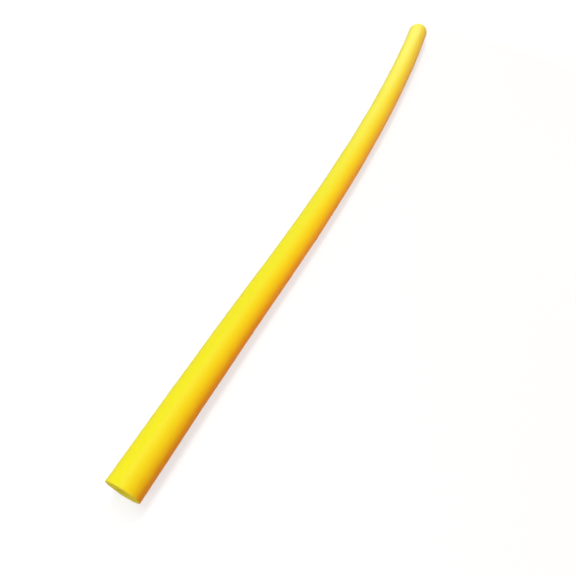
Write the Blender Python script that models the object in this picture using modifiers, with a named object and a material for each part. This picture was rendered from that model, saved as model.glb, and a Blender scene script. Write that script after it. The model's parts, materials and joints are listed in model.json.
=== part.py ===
"""A foam pool noodle, divided into short lengths that turn on each other so that it bends.

The noodle is one extruded foam tube. Here each length of it ends in a ball at the near end and
in a cup at the far end, so neighbouring lengths turn about the ball's centre with no gap to
speak of, sideways at one cut and up and down at the next. It lies on its side along +X.
"""
import math

import bpy
from mathutils import Matrix, Vector

# Driving sizes, in metres
NOODLE_LENGTH = 1.600
FOAM_DIAMETER = 0.058
BORE_DIAMETER = 0.018

# The cuts between the lengths of foam
BALL_ALLOWANCE = 0.0045
CUT_GAP = 0.0006
FLARE_STEP = 0.005
FLARE_DEPTH = 0.014
MERGE_DISTANCE = 0.0001

# Counts
SECTION_COUNT = 24
MIDDLE_SECTION = 13
ROUND_SIDES = 28
ARC_STEPS = 3

# The gentle set that the foam has taken: a slight turn to the right, then a longer one to the left
NEAR_TURN_DEG = -1.3
NEAR_TURN_END_SHARE = 0.25
FAR_TURN_DEG = 8.9

# Finish
FOAM_YELLOW = (0.90, 0.82, 0.01, 1.0)
FOAM_ROUGHNESS = 0.85

FOAM_RADIUS = FOAM_DIAMETER / 2
BORE_RADIUS = BORE_DIAMETER / 2
PITCH = NOODLE_LENGTH / SECTION_COUNT
BALL_RADIUS = FOAM_RADIUS + BALL_ALLOWANCE
CUP_RADIUS = BALL_RADIUS + CUT_GAP
FLARE_RADIUS = BORE_RADIUS + FLARE_STEP
# How far a ball's rim lies in front of the ball's centre, which is the joint's centre
RIM_SETBACK = math.sqrt(BALL_RADIUS ** 2 - FOAM_RADIUS ** 2)


def remove_everything():
    """Empty the scene."""
    for old in list(bpy.data.objects):
        bpy.data.objects.remove(old, do_unlink=True)
    for old in list(bpy.data.collections):
        bpy.data.collections.remove(old)


def arc(radius, start_r, end_r, centre):
    """Points on a sphere's near side from one distance off the axis to another."""
    first = math.asin(start_r / radius)
    last = math.asin(end_r / radius)
    points = []
    for step in range(ARC_STEPS + 1):
        angle = first + (last - first) * step / ARC_STEPS
        points.append((radius * math.sin(angle), centre - radius * math.cos(angle)))
    return points


def ball_end():
    """Outline of the ball, from its rim to its flared mouth and into the bore."""
    outline = arc(BALL_RADIUS, FOAM_RADIUS, FLARE_RADIUS, 0)
    mouth = outline[-1][1]
    return outline + [(BORE_RADIUS, mouth + FLARE_DEPTH)]


def cup_end():
    """Outline of the cup, from the bore through its flared mouth to its rim."""
    outline = arc(CUP_RADIUS, FLARE_RADIUS, FOAM_RADIUS, PITCH)
    mouth = outline[0][1]
    return [(BORE_RADIUS, mouth - FLARE_DEPTH)] + outline


def near_cut_face():
    """Outline of the noodle's near end, cut square."""
    return [(FOAM_RADIUS, -RIM_SETBACK), (BORE_RADIUS, -RIM_SETBACK)]


def far_cut_face():
    """Outline of the noodle's far end, cut square."""
    return [(BORE_RADIUS, PITCH - RIM_SETBACK), (FOAM_RADIUS, PITCH - RIM_SETBACK)]


def turned_foam(name, near_outline, far_outline):
    """A length of foam turned from its outline, lying along +X, its ball's centre at the origin."""
    outline = near_outline + far_outline
    # The outer side runs down first, from the far rim to the near one
    outline = [outline[-1]] + outline[:-1]
    mesh = bpy.data.meshes.new(name + "_outline")
    points = [Vector((radius, 0, height)) for radius, height in outline]
    edges = [(i, (i + 1) % len(points)) for i in range(len(points))]
    mesh.from_pydata(points, edges, [])
    guide = bpy.data.objects.new(name + "_outline", mesh)
    bpy.context.scene.collection.objects.link(guide)
    turn = guide.modifiers.new("turn", "SCREW")
    turn.axis = "Z"
    turn.angle = math.tau
    turn.steps = ROUND_SIDES
    turn.render_steps = ROUND_SIDES
    turn.use_merge_vertices = True
    turn.merge_threshold = MERGE_DISTANCE
    view = bpy.context.evaluated_depsgraph_get()
    foam = bpy.data.meshes.new_from_object(guide.evaluated_get(view))
    foam.name = name
    bpy.data.objects.remove(guide, do_unlink=True)
    # Half a side of turn puts a flat at the bottom, and a quarter turn lays the foam down
    foam.transform(Matrix.Rotation(math.pi / ROUND_SIDES, 4, "Z"))
    foam.transform(Matrix.Rotation(math.pi / 2, 4, "Y"))
    foam.shade_smooth()
    foam.set_sharp_from_angle(angle=math.radians(30))
    return foam


def foam_material(name):
    """Matte yellow foam."""
    material = bpy.data.materials.new(name)
    material.use_nodes = True
    shader = material.node_tree.nodes["Principled BSDF"]
    shader.inputs["Base Color"].default_value = FOAM_YELLOW
    shader.inputs["Roughness"].default_value = FOAM_ROUGHNESS
    shader.inputs["Metallic"].default_value = 0.0
    material.diffuse_color = FOAM_YELLOW
    return material


def rest_turn(cut):
    """Turn to the left at one cut, in radians, from the set that the foam has taken."""
    near_cuts = round(NEAR_TURN_END_SHARE * SECTION_COUNT)
    far_cuts = SECTION_COUNT - 1 - near_cuts
    if cut <= near_cuts:
        return math.radians(NEAR_TURN_DEG) / near_cuts
    return math.radians(FAR_TURN_DEG) / far_cuts


def add_section(number, mesh, collection, carrier, offset):
    """One length of foam, carried by a pivot and shifted along its own axis."""
    name = f"foam_{number:02d}"
    section = bpy.data.objects.new(name, mesh.copy())
    section.data.name = name
    section.data.materials.append(foam_material(name + "_yellow"))
    collection.objects.link(section)
    section.parent = carrier
    section.location = (offset, 0, 0)
    return section


def add_pivot(cut, collection, carrier, offset, turn):
    """The empty at a ball's centre, on which the next length of foam turns."""
    kind = "side" if cut % 2 else "lift"
    pivot = bpy.data.objects.new(f"{kind}_pivot_{cut:02d}", None)
    pivot.empty_display_size = FOAM_RADIUS
    collection.objects.link(pivot)
    pivot.parent = carrier
    pivot.location = (offset, 0, 0)
    pivot.rotation_euler = (0, 0, turn)
    return pivot


def stand_on_floor(base, sections):
    """Shift the noodle so that its box is centred over the origin and its foam rests on the floor."""
    bpy.context.view_layer.update()
    corners = [s.matrix_world @ v.co for s in sections for v in s.data.vertices]
    low = Vector(min(c[i] for c in corners) for i in range(3))
    high = Vector(max(c[i] for c in corners) for i in range(3))
    base.location = (-(low.x + high.x) / 2, -(low.y + high.y) / 2, -low.z)
    bpy.context.view_layer.update()


def build_noodle():
    """The whole noodle: the middle length on the base, and the others in a chain both ways."""
    remove_everything()
    collection = bpy.data.collections.new("pool_noodle")
    bpy.context.scene.collection.children.link(collection)
    base = bpy.data.objects.new("noodle_base", None)
    collection.objects.link(base)

    near_mesh = turned_foam("near_length", near_cut_face(), cup_end())
    middle_mesh = turned_foam("middle_length", ball_end(), cup_end())
    far_mesh = turned_foam("far_length", ball_end(), far_cut_face())
    meshes = [near_mesh] + [middle_mesh] * (SECTION_COUNT - 2) + [far_mesh]

    sections = {}
    sections[MIDDLE_SECTION] = add_section(
        MIDDLE_SECTION, meshes[MIDDLE_SECTION - 1], collection, base, 0)
    for number in range(MIDDLE_SECTION + 1, SECTION_COUNT + 1):
        cut = number - 1
        pivot = add_pivot(cut, collection, sections[number - 1], PITCH, rest_turn(cut))
        sections[number] = add_section(number, meshes[number - 1], collection, pivot, 0)
    for number in range(MIDDLE_SECTION - 1, 0, -1):
        cut = number
        pivot = add_pivot(cut, collection, sections[number + 1], 0, -rest_turn(cut))
        sections[number] = add_section(number, meshes[number - 1], collection, pivot, -PITCH)

    for mesh in (near_mesh, middle_mesh, far_mesh):
        bpy.data.meshes.remove(mesh)
    stand_on_floor(base, list(sections.values()))


build_noodle()
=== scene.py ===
import json
import math

import bpy
import numpy as np
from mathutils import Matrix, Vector

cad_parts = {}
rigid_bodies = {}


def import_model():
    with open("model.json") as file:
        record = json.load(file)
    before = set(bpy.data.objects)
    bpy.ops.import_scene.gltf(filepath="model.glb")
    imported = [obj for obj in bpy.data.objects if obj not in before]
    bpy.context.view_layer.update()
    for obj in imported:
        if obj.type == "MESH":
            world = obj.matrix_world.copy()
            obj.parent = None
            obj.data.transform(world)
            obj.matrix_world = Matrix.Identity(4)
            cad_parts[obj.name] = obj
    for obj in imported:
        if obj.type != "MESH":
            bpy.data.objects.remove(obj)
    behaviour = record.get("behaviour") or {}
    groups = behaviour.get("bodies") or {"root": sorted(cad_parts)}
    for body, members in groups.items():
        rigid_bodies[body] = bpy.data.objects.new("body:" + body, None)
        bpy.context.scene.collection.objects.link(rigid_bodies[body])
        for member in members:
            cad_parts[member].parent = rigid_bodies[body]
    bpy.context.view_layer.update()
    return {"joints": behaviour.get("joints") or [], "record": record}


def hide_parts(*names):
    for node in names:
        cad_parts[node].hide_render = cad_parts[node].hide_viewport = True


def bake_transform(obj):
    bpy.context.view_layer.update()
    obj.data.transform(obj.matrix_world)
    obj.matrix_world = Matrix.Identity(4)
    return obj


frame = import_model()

# The foam tube, in metres
FOAM_RADIUS = 0.029
BORE_RADIUS = 0.009
RIM_ROUNDING = 0.0012
MOUTH_ROUNDING = 0.0014
FLOOR_CLEARANCE = 0.00002

# How finely the foam is modelled
SKIN_STEP = 0.0013
BORE_STEP = 0.0052
FACE_STEP = 0.00045
SIDES = 144
END_SIDES = 288
ROUNDING_STEPS = 6
CURVE_STEPS = 12
JOIN_DISH = 0.0004
NORMAL_STEP = 0.0002
SHARP_ANGLE = math.radians(50)
MATERIAL_ORDER = ("skin", "cut", "bore")

# Unevenness: how high each kind of swell is, how far apart its swells lie, and how many lobes
# at most go round the tube. The skin has slow swells, dents, pebbles and long draw lines, the
# bore has swells and wrinkles, and a cut face is slightly wavy. Each kind is a sum of waves,
# whose pace is spread about the one that its span gives.
SKIN_SWELLS = (
    {"height": 0.00020, "span": 0.170, "lobes": 2, "waves": 12, "seed": 3},
    {"height": 0.00009, "span": 0.034, "lobes": 5, "waves": 18, "seed": 5},
    {"height": 0.000022, "span": 0.0062, "lobes": 30, "waves": 40, "seed": 7},
    {"height": 0.000025, "span": 1.2, "lobes": 34, "waves": 14, "seed": 9},
)
BORE_SWELLS = (
    {"height": 0.00022, "span": 0.022, "lobes": 3, "waves": 12, "seed": 11},
    {"height": 0.00010, "span": 0.0070, "lobes": 9, "waves": 24, "seed": 13},
)
CUT_SWELLS = {"height": 0.00025, "span": 0.016, "lobes": 0, "waves": 8}
PACE_SPREAD = (0.6, 1.4)

# Open cells on the cut ends, in rows that are as wide as so many foam radii
CELL_ROW_RADII = 2.4
CELL_SPAN = 0.0027
CELL_SCATTER = 0.36
CELL_WALL = 0.00090
CELL_DEPTH = 0.00040
CELL_OPENNESS = (0.3, 1.0)
CELL_SHARE_OPEN = 0.55
NEAR_CUT_SEED, FAR_CUT_SEED = 21, 22

# Colours, linear
FOAM_YELLOW = (0.900, 0.805, 0.006, 1)
PALE_YELLOW = (0.915, 0.838, 0.014, 1)
DEEP_YELLOW = (0.880, 0.752, 0.003, 1)
CUT_YELLOW = (0.900, 0.830, 0.055, 1)
# The cut face's darker cell colour: painted shade in the cell hollows and pits, mixed with a random
# mottle
PAINTED_CELL_SHADE = (0.660, 0.560, 0.018, 1)
# The bore's two colours are darker than the skin's: painted shade inside the bore; the wrinkles move
# between them at random
BORE_YELLOW = (0.840, 0.740, 0.006, 1)
BORE_SHADE = (0.600, 0.500, 0.002, 1)
WHITE = (1, 1, 1, 1)

# How fine the foam's textures are, in features per metre
SKIN_MOTTLE, SKIN_LINES, SKIN_PEBBLE, SKIN_FINE_PEBBLE, SKIN_GRAIN = 22, 420, 620, 1500, 5200
CUT_CELL, CUT_SMALL_CELL, CUT_MOTTLE, CUT_GRAIN = 560, 1350, 140, 3600
BORE_WRINKLE, BORE_CELL = 380, 900

# How close together features lie along the foam, if it is 1 across
LINES_ALONG, PEBBLE_ALONG, FINE_PEBBLE_ALONG, WRINKLE_ALONG = 0.05, 0.62, 0.8, 1.6

# The part of a texture's range that is spread from 0 to 1
SKIN_TONES = (0.3, 0.7)
PEBBLE_TONES = (0.15, 0.75)
CELL_TONES, SMALL_CELL_TONES = (0.0, 0.32), (0.0, 0.34)
CUT_TONES = (0.35, 0.7)
WRINKLE_TONES = (0.35, 0.65)

# Finish: how matte each surface of the foam is, how deep its bumps go, and what they all share
SKIN_ROUGHNESS, SKIN_BUMP_DEPTH = 0.42, 0.00022
CUT_ROUGHNESS, CUT_BUMP_DEPTH = 0.62, 0.00030
BORE_ROUGHNESS, BORE_BUMP_DEPTH = 0.70, 0.00035
FOAM_SPECULAR = 0.17
FOAM_SHEEN = 0.02
FOAM_SHEEN_ROUGHNESS = 0.5

# The floor: its colour as it is seen and as it throws light back, the glow and the shares of
# the veil that lies over it, and from where to where it fades to plain white
FLOOR_HALF_WIDTH = 6.0
FLOOR_WHITE = (0.88, 0.91, 0.93, 1)
FLOOR_BOUNCE = (0.32, 0.14, 0.05, 1)
FLOOR_GLOW = 1.35
FLOOR_VEIL_SHARE = 0.63
FLOOR_HAZE_SHARE = 0.28
FLOOR_FADE = (0.9, 2.0)

# Light: each soft lamp's place, aim, width, height, level and colour
SURROUND_LEVEL = 0.07
SOFTBOXES = (
    ("overhead_softbox", (0.0, 0.50, 3.2), (0.0, 0, 0.03), 3.0, 0.9, 0.77, (1.0, 1.0, 0.98)),
    ("back_softbox", (0.1, 2.20, 0.25), (0.1, 0, 0.03), 2.6, 0.4, 0.09, (1.0, 1.0, 0.98)),
    ("front_softbox", (-2.8, 0.15, 1.30), (-0.7, 0, 0.03), 1.2, 0.7, 0.50, (1.0, 1.0, 0.98)),
    ("far_softbox", (2.9, 0.60, 1.00), (0.6, 0, 0.03), 2.0, 1.0, 0.42, (1.0, 1.0, 0.98)),
    ("near_warm_panel", (-0.55, -1.00, 0.10), (-0.55, 0, 0.03), 0.6, 0.20, 0.30, (1.0, 0.01, 0.0)),
    ("long_warm_panel", (0.45, -1.10, 0.14), (0.45, 0, 0.03), 1.3, 0.24, 0.46, (1.0, 0.28, 0.0)),
)

# The camera, where the photograph was taken from
IMAGE_WIDTH = 576
FOCAL_PIXELS = 477.7
SENSOR_WIDTH_MM = 36.0
CAMERA_PLACE = (-0.8836, -0.2808, 0.7234)
CAMERA_HEADING = math.radians(24.678)
CAMERA_TILT = math.radians(50.9)


class Signal:
    """An output socket, so that shader maths can be written as Python expressions."""

    def __init__(self, paint, socket):
        self.paint = paint
        self.socket = socket

    def maths(self, operation, *values, clamp=False):
        settings = {"operation": operation, "use_clamp": clamp}
        return self.paint.node("ShaderNodeMath", settings, dict(enumerate(values)))

    def __add__(self, other):
        return self.maths("ADD", self, other)

    def __sub__(self, other):
        return self.maths("SUBTRACT", self, other)

    def __mul__(self, other):
        return self.maths("MULTIPLY", self, other)

    def __radd__(self, other):
        return self.maths("ADD", other, self)

    def __rsub__(self, other):
        return self.maths("SUBTRACT", other, self)

    def __rmul__(self, other):
        return self.maths("MULTIPLY", other, self)

    def between(self, low, high):
        """0 at low and 1 at high, held there beyond them."""
        return self.maths("MULTIPLY", self - low, 1 / (high - low), clamp=True)

    def or_more(self, other):
        return self.maths("MAXIMUM", self, other)


class Paint:
    """The node tree of one material, or of the world, with one method that adds any node."""

    def __init__(self, owner):
        owner.use_nodes = True
        self.owner = owner
        self.tree = owner.node_tree
        self.tree.nodes.clear()

    def node(self, kind, settings=None, inputs=None, output=0):
        """One of a new node's outputs, or the node itself if it has none."""
        made = self.tree.nodes.new(kind)
        for name, value in (settings or {}).items():
            setattr(made, name, value)
        for name, value in (inputs or {}).items():
            if isinstance(value, Signal):
                self.tree.links.new(value.socket, made.inputs[name])
            else:
                made.inputs[name].default_value = value
        return Signal(self, made.outputs[output]) if len(made.outputs) else made

    def mix(self, share, first, second):
        """A colour from first to second."""
        inputs = {0: share, 6: first, 7: second}
        return self.node("ShaderNodeMix", {"data_type": "RGBA"}, inputs, output=2)

    def mix_shaders(self, share, first, second):
        """A surface from first to second."""
        return self.node("ShaderNodeMixShader", None, {0: share, 1: first, 2: second})

    def stretched(self, place, along):
        """A place that is scaled along the foam, but not across it."""
        inputs = {0: place, 1: (along, 1, 1)}
        return self.node("ShaderNodeVectorMath", {"operation": "MULTIPLY"}, inputs)

    def noise(self, place, scale, detail):
        inputs = {"Vector": place, "Scale": scale, "Detail": detail}
        return self.node("ShaderNodeTexNoise", None, inputs)

    def cells(self, place, scale, feature="F1"):
        inputs = {"Vector": place, "Scale": scale}
        return self.node("ShaderNodeTexVoronoi", {"feature": feature}, inputs)

    def stored(self, name, output):
        """A value that is kept on the foam's mesh."""
        return self.node("ShaderNodeAttribute", {"attribute_name": name}, output=output)

    def foam_place(self):
        """Where a point lies on the foam: metres along it, and across it two ways."""
        return self.stored("foam_place", "Vector")

    def foam_shader(self, colour, roughness, height, depth):
        """A matte foam surface with its bumps."""
        bump = self.node("ShaderNodeBump", None, {"Distance": depth, "Height": height})
        inputs = {"Base Color": colour, "Roughness": roughness, "Normal": bump}
        inputs["Specular IOR Level"] = FOAM_SPECULAR
        inputs["Sheen Weight"] = FOAM_SHEEN
        inputs["Sheen Roughness"] = FOAM_SHEEN_ROUGHNESS
        shader = self.node("ShaderNodeBsdfPrincipled", None, inputs)
        self.node("ShaderNodeOutputMaterial", None, {"Surface": shader})
        return self.owner


def foam_skin():
    """The closed skin of the extruded foam: fine pebbled cells, long draw lines, a soft mottle."""
    paint = Paint(bpy.data.materials.new("foam_skin"))
    place = paint.foam_place()
    mottle = paint.noise(place, SKIN_MOTTLE, detail=3)
    drawn = paint.noise(paint.stretched(place, LINES_ALONG), SKIN_LINES, detail=3)
    pebble = paint.cells(paint.stretched(place, PEBBLE_ALONG), SKIN_PEBBLE)
    fine_pebble = paint.cells(paint.stretched(place, FINE_PEBBLE_ALONG), SKIN_FINE_PEBBLE)
    grain = paint.noise(place, SKIN_GRAIN, detail=2)
    tone = mottle.between(*SKIN_TONES) * 0.5 + drawn.between(*SKIN_TONES) * 0.3 + grain * 0.2
    warm = paint.mix(tone, DEEP_YELLOW, FOAM_YELLOW)
    colour = paint.mix(pebble.between(*PEBBLE_TONES) * 0.35, PALE_YELLOW, warm)
    roughness = SKIN_ROUGHNESS + grain * 0.08 + mottle * 0.06
    height = drawn * 0.30 + grain * 0.16 - pebble * 0.55 - fine_pebble * 0.22
    return paint.foam_shader(colour, roughness, height, SKIN_BUMP_DEPTH)


def cut_foam():
    """A knife-cut end: open cells with thin pale walls, deeper inside, and painted shade that
    darkens the cell hollows and pits.
    """
    paint = Paint(bpy.data.materials.new("cut_foam"))
    place = paint.foam_place()
    void = paint.stored("cell_pit", "Fac")
    cell = paint.cells(place, CUT_CELL, "DISTANCE_TO_EDGE").between(*CELL_TONES)
    small_cell = paint.cells(place, CUT_SMALL_CELL, "DISTANCE_TO_EDGE").between(*SMALL_CELL_TONES)
    mottle = paint.noise(place, CUT_MOTTLE, detail=3).between(*CUT_TONES)
    grain = paint.noise(place, CUT_GRAIN, detail=2)
    # Painted shade: darker in the cell hollows and pits, plus a random mottle tone
    shade = cell * 0.42 + small_cell * 0.20 + void * 0.22 + mottle * 0.16
    colour = paint.mix(shade, CUT_YELLOW, PAINTED_CELL_SHADE)
    roughness = CUT_ROUGHNESS + grain * 0.20
    height = grain * 0.12 - cell * 0.75 - small_cell * 0.25
    return paint.foam_shader(colour, roughness, height, CUT_BUMP_DEPTH)


def bore_wall():
    """The wall of the bore: a duller skin with small wrinkles, coloured darker than the outer skin
    as painted shade inside the bore.
    """
    paint = Paint(bpy.data.materials.new("bore_wall"))
    place = paint.foam_place()
    wrinkle = paint.noise(paint.stretched(place, WRINKLE_ALONG), BORE_WRINKLE, detail=4)
    cells = paint.cells(place, BORE_CELL)
    # The wrinkle tone varies at random; both bore colours are darker than the skin as painted shade
    shade = wrinkle.between(*WRINKLE_TONES) * 0.7 + cells * 0.3
    colour = paint.mix(shade, BORE_YELLOW, BORE_SHADE)
    roughness = BORE_ROUGHNESS + wrinkle * 0.12
    height = wrinkle * 0.7 - cells * 0.4
    return paint.foam_shader(colour, roughness, height, BORE_BUMP_DEPTH)


class Spine:
    """The tube's centre line at rest, smooth through the joints, measured from the near end."""

    def __init__(self):
        cuts = sorted(frame["joints"], key=lambda joint: joint["pos_m"][0])
        centres = np.array([cut["pos_m"] for cut in cuts])
        mounts = {mount["name"]: mount for mount in frame["record"]["mounts"]}
        near_end = self.end_centre(mounts["near_end_face"], centres[0])
        far_end = self.end_centre(mounts["far_end_face"], centres[-1])
        # The lengths join halfway between the joints, and as far out beyond the outer two
        half = np.linalg.norm(centres[1] - centres[0]) / 2
        first = self.step_towards(near_end, centres[0], half)
        last = self.step_towards(far_end, centres[-1], half)
        middles = (centres[1:] + centres[:-1]) / 2
        self.joins = np.vstack([first, middles, last])
        self.bodies = [sorted((cut["parent"], cut["child"])) for cut in cuts]
        # Straight up to the first join, a curve over each joint, and straight after the last join
        share = np.linspace(0, 1, CURVE_STEPS, endpoint=False)[:, None]
        runs = [near_end + (first - near_end) * share]
        for start, centre, end in zip(self.joins, centres, self.joins[1:]):
            curve = (1 - share) ** 2 * start + 2 * share * (1 - share) * centre + share ** 2 * end
            runs.append(curve)
        runs.append(np.vstack([last + (far_end - last) * share, far_end]))
        self.points = np.vstack(runs)
        steps = np.diff(self.points, axis=0)
        lengths = np.linalg.norm(steps, axis=1)
        self.along = np.concatenate([[0], np.cumsum(lengths)])
        self.step_middles = (self.along[1:] + self.along[:-1]) / 2
        self.headings = np.unwrap(np.arctan2(steps[:, 1], steps[:, 0]))
        self.length = self.along[-1]
        ends = [np.argmin(np.linalg.norm(self.points - join, axis=1)) for join in self.joins]
        self.join_places = self.along[ends]

    @staticmethod
    def end_centre(mount, joint_centre):
        """Where the centre line from the joint meets a cut end's plane."""
        normal = np.array(mount["axis"])
        return joint_centre + normal * ((np.array(mount["pos_m"]) - joint_centre) @ normal)

    @staticmethod
    def step_towards(target, place, distance):
        """The point a distance away from a place, on the way to a target."""
        return place + (target - place) * distance / np.linalg.norm(target - place)

    def surface(self, along, around, radius):
        """Points on the tube, by how far along they lie, the angle from the left, and the radius."""
        heading = np.interp(along, self.step_middles, self.headings)
        beyond = along - np.clip(along, 0, self.length)
        x = np.interp(along, self.along, self.points[:, 0]) + beyond * np.cos(heading)
        y = np.interp(along, self.along, self.points[:, 1]) + beyond * np.sin(heading)
        z = self.points[0, 2] + radius * np.sin(around)
        sideways = radius * np.cos(around)
        x, y = x - sideways * np.sin(heading), y + sideways * np.cos(heading)
        return np.stack(np.broadcast_arrays(x, y, np.maximum(z, FLOOR_CLEARANCE)), -1)


def unevenness(along, around, height, span, lobes, waves, seed):
    """Smooth random swells, about as high as the height and about a span apart."""
    draw = np.random.default_rng(seed)
    total = 0
    for _ in range(waves):
        pace = draw.uniform(*PACE_SPREAD) * math.tau / span
        turns = draw.integers(-lobes, lobes + 1)
        total = total + np.cos(pace * along + turns * around + draw.uniform(0, math.tau))
    return height * (total / math.sqrt(waves))


def swell(along, around, layers):
    """How far the skin or the bore's wall lies from a true cylinder."""
    return sum(unevenness(along, around, **layer) for layer in layers)


def cell_pits(across, up, seed):
    """How far inside its open cell each point of a cut end lies, from 0 on a wall to about 1."""
    draw = np.random.default_rng(seed)
    count = int(CELL_ROW_RADII * FOAM_RADIUS / CELL_SPAN)
    rows, columns = np.meshgrid(np.arange(count), np.arange(count), indexing="ij")
    cells = np.stack([columns + rows % 2 / 2, rows * math.sqrt(3) / 2], -1).reshape(-1, 2)
    scatter = draw.uniform(-CELL_SCATTER, CELL_SCATTER, cells.shape)
    cells = (cells - cells.mean(0) + scatter) * CELL_SPAN
    openness = draw.uniform(*CELL_OPENNESS, len(cells))
    openness = openness * (draw.random(len(cells)) < CELL_SHARE_OPEN)
    pits = np.zeros(across.shape)
    for row in range(len(across)):
        points = np.stack([across[row], up[row]], -1)
        gaps = np.linalg.norm(points[:, None] - cells[None], axis=2)
        nearest = np.argsort(gaps, axis=1)[:, :2]
        first, second = np.take_along_axis(gaps, nearest, axis=1).T
        inside = np.clip((second - first) / CELL_WALL, 0, 1)
        pits[row] = inside * inside * (3 - 2 * inside) * openness[nearest[:, 0]]
    return pits


def cut_relief(across, up, radius, near_cut):
    """The pits of a cut face's open cells, and how far its surface is moved along the tube."""
    inward, seed = (1, NEAR_CUT_SEED) if near_cut else (-1, FAR_CUT_SEED)
    edge = np.minimum(FOAM_RADIUS - radius, radius - BORE_RADIUS)
    fade = np.clip(edge / (2 * RIM_ROUNDING), 0, 1)
    pits = cell_pits(across, up, seed) * fade
    waves = unevenness(up, around=0, seed=seed, **CUT_SWELLS)
    return pits, inward * (CELL_DEPTH * pits + waves * fade)


def rounding(radius, size, end, inward, widening):
    """The rounded edge between a wall and a cut face, as places along and radii."""
    angles = np.linspace(0, math.pi / 2, ROUNDING_STEPS + 1)
    along = end + inward * size * (1 - np.sin(angles))
    radii = radius + widening * size * (1 - np.cos(angles))
    return list(zip(along, radii))


def cut_face(end, inward):
    """Stations from the skin round the rim, across the cut face and round into the bore."""
    rim = rounding(FOAM_RADIUS, RIM_ROUNDING, end, inward, widening=-1)
    mouth = rounding(BORE_RADIUS, MOUTH_ROUNDING, end, inward, widening=1)[::-1]
    inner, outer = mouth[0][1], rim[-1][1]
    count = round((outer - inner) / FACE_STEP)
    across = [(end, radius) for radius in np.linspace(outer, inner, count + 1)[1:-1]]
    return [(place, radius, "cut") for place, radius in rim + across + mouth]


def wall(start, end, radius, step, kind):
    """Stations along the skin or the bore, about a step apart."""
    count = round(abs(end - start) / step)
    return [(place, radius, kind) for place in np.linspace(start, end, count + 1)]


def tube_stations(start, end, near_cut, far_cut):
    """The closed outline of one length of tube: out along the skin and back along the bore."""
    skin_start = start + RIM_ROUNDING if near_cut else start
    skin_end = end - RIM_ROUNDING if far_cut else end
    skin = wall(skin_start, skin_end, FOAM_RADIUS, SKIN_STEP, "skin")
    bore_start = start + MOUTH_ROUNDING if near_cut else start
    bore_end = end - MOUTH_ROUNDING if far_cut else end
    bore = wall(bore_end, bore_start, BORE_RADIUS, BORE_STEP, "bore")
    # Where the length meets the next one it is closed by a shallow dish, which never shows
    middle = (FOAM_RADIUS + BORE_RADIUS) / 2
    far_face = [(end - JOIN_DISH, middle, "cut")]
    near_face = [(start + JOIN_DISH, middle, "cut")]
    if far_cut:
        far_face = cut_face(end, inward=-1)[1:-1]
    if near_cut:
        near_face = cut_face(start, inward=1)[::-1][1:-1]
    return skin + far_face + bore + near_face


def slope_normals(spine, along, around):
    """The skin's own normals, so that neighbouring lengths shade alike where they meet."""
    turn = NORMAL_STEP / FOAM_RADIUS

    def skin(a, t):
        return spine.surface(a, t, FOAM_RADIUS + swell(a, t, SKIN_SWELLS))

    lengthwise = skin(along + NORMAL_STEP, around) - skin(along - NORMAL_STEP, around)
    roundwise = skin(along, around + turn) - skin(along, around - turn)
    normals = np.cross(roundwise, lengthwise)
    return normals / np.linalg.norm(normals, axis=-1, keepdims=True)


def ring_faces(count, sides):
    """Four-sided faces from each ring of points to the next, and from the last to the first."""
    row, column = np.meshgrid(np.arange(count), np.arange(sides), indexing="ij")
    next_row, next_column = (row + 1) % count, (column + 1) % sides
    corners = [(row, column), (row, next_column), (next_row, next_column), (next_row, column)]
    return np.stack([r * sides + c for r, c in corners], -1).reshape(-1, 4)


def store(mesh, name, data_type, field, values):
    """Keep a value for each point of the mesh, for its materials."""
    attribute = mesh.attributes.new(name, data_type, "POINT")
    attribute.data.foreach_set(field, values.astype(np.float32).ravel())


def shade(mesh, faces, on_skin, skin_normals):
    """Smooth shading with sharp edges, and the skin's own normals on the skin."""
    mesh.shade_smooth()
    mesh.set_sharp_from_angle(angle=SHARP_ANGLE)
    normals = np.empty(len(mesh.loops) * 3, np.float32)
    mesh.corner_normals.foreach_get("vector", normals)
    normals = normals.reshape(-1, 3)
    normals[on_skin] = skin_normals.reshape(-1, 3)[faces.ravel()[on_skin]]
    mesh.normals_split_custom_set(normals.tolist())


def foam_length(name, spine, start, end, near_cut, far_cut, materials):
    """One length of the foam tube as a closed mesh."""
    sides = END_SIDES if near_cut or far_cut else SIDES
    around = (np.arange(sides) * math.tau / sides)[None, :]
    along, radius, kinds = zip(*tube_stations(start, end, near_cut, far_cut))
    along, radius = np.array(along)[:, None], np.array(radius)[:, None]

    skin_share = np.clip((radius - BORE_RADIUS) / (FOAM_RADIUS - BORE_RADIUS), 0, 1)
    skin_swell, bore_swell = swell(along, around, SKIN_SWELLS), swell(along, around, BORE_SWELLS)
    swelled = radius + (skin_share * skin_swell + (1 - skin_share) * bore_swell)
    across, up = radius * np.cos(around), radius * np.sin(around)
    pits, moved = np.zeros(across.shape), np.zeros(across.shape)
    cut = np.array(kinds) == "cut"
    pits[cut], moved[cut] = cut_relief(across[cut], up[cut], radius[cut], near_cut)
    points = spine.surface(along + moved, around, swelled)

    # A ring of faces between two kinds of surface belongs to the cut
    faces = ring_faces(len(kinds), sides)
    slots = []
    for first, second in zip(kinds, kinds[1:] + kinds[:1]):
        kind = first if first == second else "cut"
        slots += [MATERIAL_ORDER.index(kind)] * sides

    mesh = bpy.data.meshes.new(name)
    mesh.from_pydata(points.reshape(-1, 3), [], faces)
    places = np.stack(np.broadcast_arrays(along, across, up), -1)
    store(mesh, "foam_place", "FLOAT_VECTOR", "vector", places)
    store(mesh, "cell_pit", "FLOAT", "value", pits)
    for material in materials:
        mesh.materials.append(material)
    mesh.polygons.foreach_set("material_index", slots)
    on_skin = np.repeat(np.array(slots) == MATERIAL_ORDER.index("skin"), 4)
    shade(mesh, faces, on_skin, slope_normals(spine, along, around))

    piece = bpy.data.objects.new(name, mesh)
    bpy.context.scene.collection.objects.link(piece)
    return piece


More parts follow.
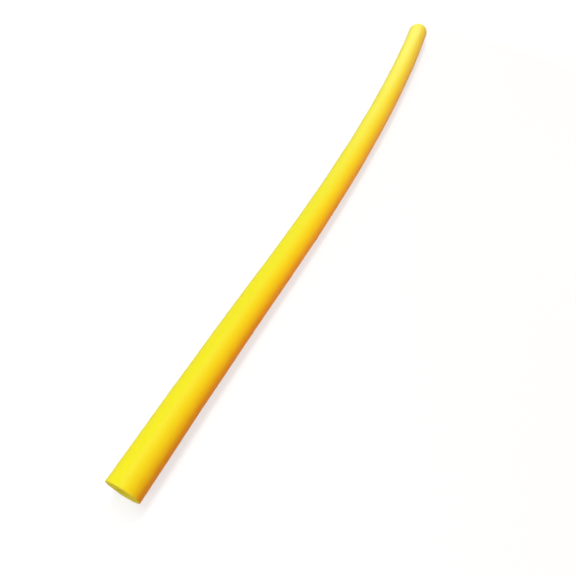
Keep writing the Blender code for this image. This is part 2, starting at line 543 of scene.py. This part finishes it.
def make_noodle():
    """The whole tube: one length over each joint, in place of the two bodies' parts there, which are
    hidden.
    """
    spine = Spine()
    materials = (foam_skin(), cut_foam(), bore_wall())
    count = len(spine.bodies)
    for index, (near_body, far_body) in enumerate(spine.bodies):
        near_cut, far_cut = index == 0, index == count - 1
        start = 0.0 if near_cut else spine.join_places[index]
        end = spine.length if far_cut else spine.join_places[index + 1]
        name = f"noodle_bend_{index + 1:02d}"
        piece = foam_length(name, spine, start, end, near_cut, far_cut, materials)
        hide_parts(near_body, far_body)
        spine.joins[index + 1]
        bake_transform(piece)


def seen_directly(paint):
    """1 for rays from the camera, in a reflection or through glass."""
    camera, glossy, through = (
        paint.node("ShaderNodeLightPath", output=f"Is {kind} Ray")
        for kind in ("Camera", "Glossy", "Transmission"))
    return camera.or_more(glossy).or_more(through)


def lay_floor():
    """A plain pale floor that shows the noodle's shadow, and through a veil what bends below it."""
    mesh = bpy.data.meshes.new("floor")
    half = FLOOR_HALF_WIDTH
    corners = [(-half, -half, 0), (half, -half, 0), (half, half, 0), (-half, half, 0)]
    mesh.from_pydata(corners, [], [(0, 1, 2, 3)])
    floor = bpy.data.objects.new("floor", mesh)
    bpy.context.scene.collection.objects.link(floor)
    paint = Paint(bpy.data.materials.new("pale_floor"))
    seen = seen_directly(paint)
    place = paint.node("ShaderNodeNewGeometry", output="Position")
    length = {"operation": "LENGTH"}
    reach = paint.node("ShaderNodeVectorMath", length, {0: place}, output="Value")
    beyond = reach.between(*FLOOR_FADE)
    shown = paint.node("ShaderNodeBsdfDiffuse", None, {"Color": FLOOR_WHITE})
    clear = paint.node("ShaderNodeBsdfTransparent", None, {"Color": WHITE})
    glow = paint.node("ShaderNodeEmission", None, {"Color": WHITE, "Strength": FLOOR_GLOW})
    veil = paint.mix_shaders(FLOOR_HAZE_SHARE + beyond * (1 - FLOOR_HAZE_SHARE), clear, glow)
    pale = paint.mix_shaders(FLOOR_VEIL_SHARE + beyond * (1 - FLOOR_VEIL_SHARE), shown, veil)
    bounce = paint.node("ShaderNodeBsdfDiffuse", None, {"Color": FLOOR_BOUNCE})
    surface = paint.mix_shaders(seen, bounce, pale)
    paint.node("ShaderNodeOutputMaterial", None, {"Surface": surface})
    mesh.materials.append(paint.owner)
    floor.visible_shadow = False


def hang_softbox(name, place, aim, width, height, level, colour):
    """A soft lamp that lights a surface facing it, where it is aimed, at the given level."""
    place, aim = Vector(place), Vector(aim)
    lamp = bpy.data.lights.new(name, "AREA")
    lamp.shape = "RECTANGLE"
    lamp.size = width
    lamp.size_y = height
    lamp.color = colour
    lamp.energy = level * math.pi ** 2 * (place - aim).length_squared
    softbox = bpy.data.objects.new(name, lamp)
    softbox.location = place
    softbox.visible_camera = False
    softbox.rotation_euler = (aim - place).to_track_quat("-Z", "Y").to_euler()
    bpy.context.scene.collection.objects.link(softbox)


def light_studio():
    """Soft light from overhead, both ends and the back, low warm panels, an even surround."""
    world = bpy.data.worlds.new("white_surround")
    bpy.context.scene.world = world
    paint = Paint(world)
    strength = SURROUND_LEVEL + seen_directly(paint) * (1 - SURROUND_LEVEL)
    surround = paint.node("ShaderNodeBackground", None, {"Color": WHITE, "Strength": strength})
    paint.node("ShaderNodeOutputWorld", None, {"Surface": surround})
    for softbox in SOFTBOXES:
        hang_softbox(*softbox)


def place_camera():
    """The camera at the photograph's place and angle."""
    lens = bpy.data.cameras.new("camera")
    lens.sensor_fit = "HORIZONTAL"
    lens.sensor_width = SENSOR_WIDTH_MM
    lens.lens = SENSOR_WIDTH_MM * FOCAL_PIXELS / IMAGE_WIDTH
    camera = bpy.data.objects.new("camera", lens)
    camera.location = CAMERA_PLACE
    camera.rotation_euler = (math.pi / 2 - CAMERA_TILT, 0, CAMERA_HEADING - math.pi / 2)
    bpy.context.scene.collection.objects.link(camera)
    bpy.context.scene.camera = camera


place_camera()
make_noodle()
lay_floor()
light_studio()
bpy.context.scene.view_settings.view_transform = "Standard"
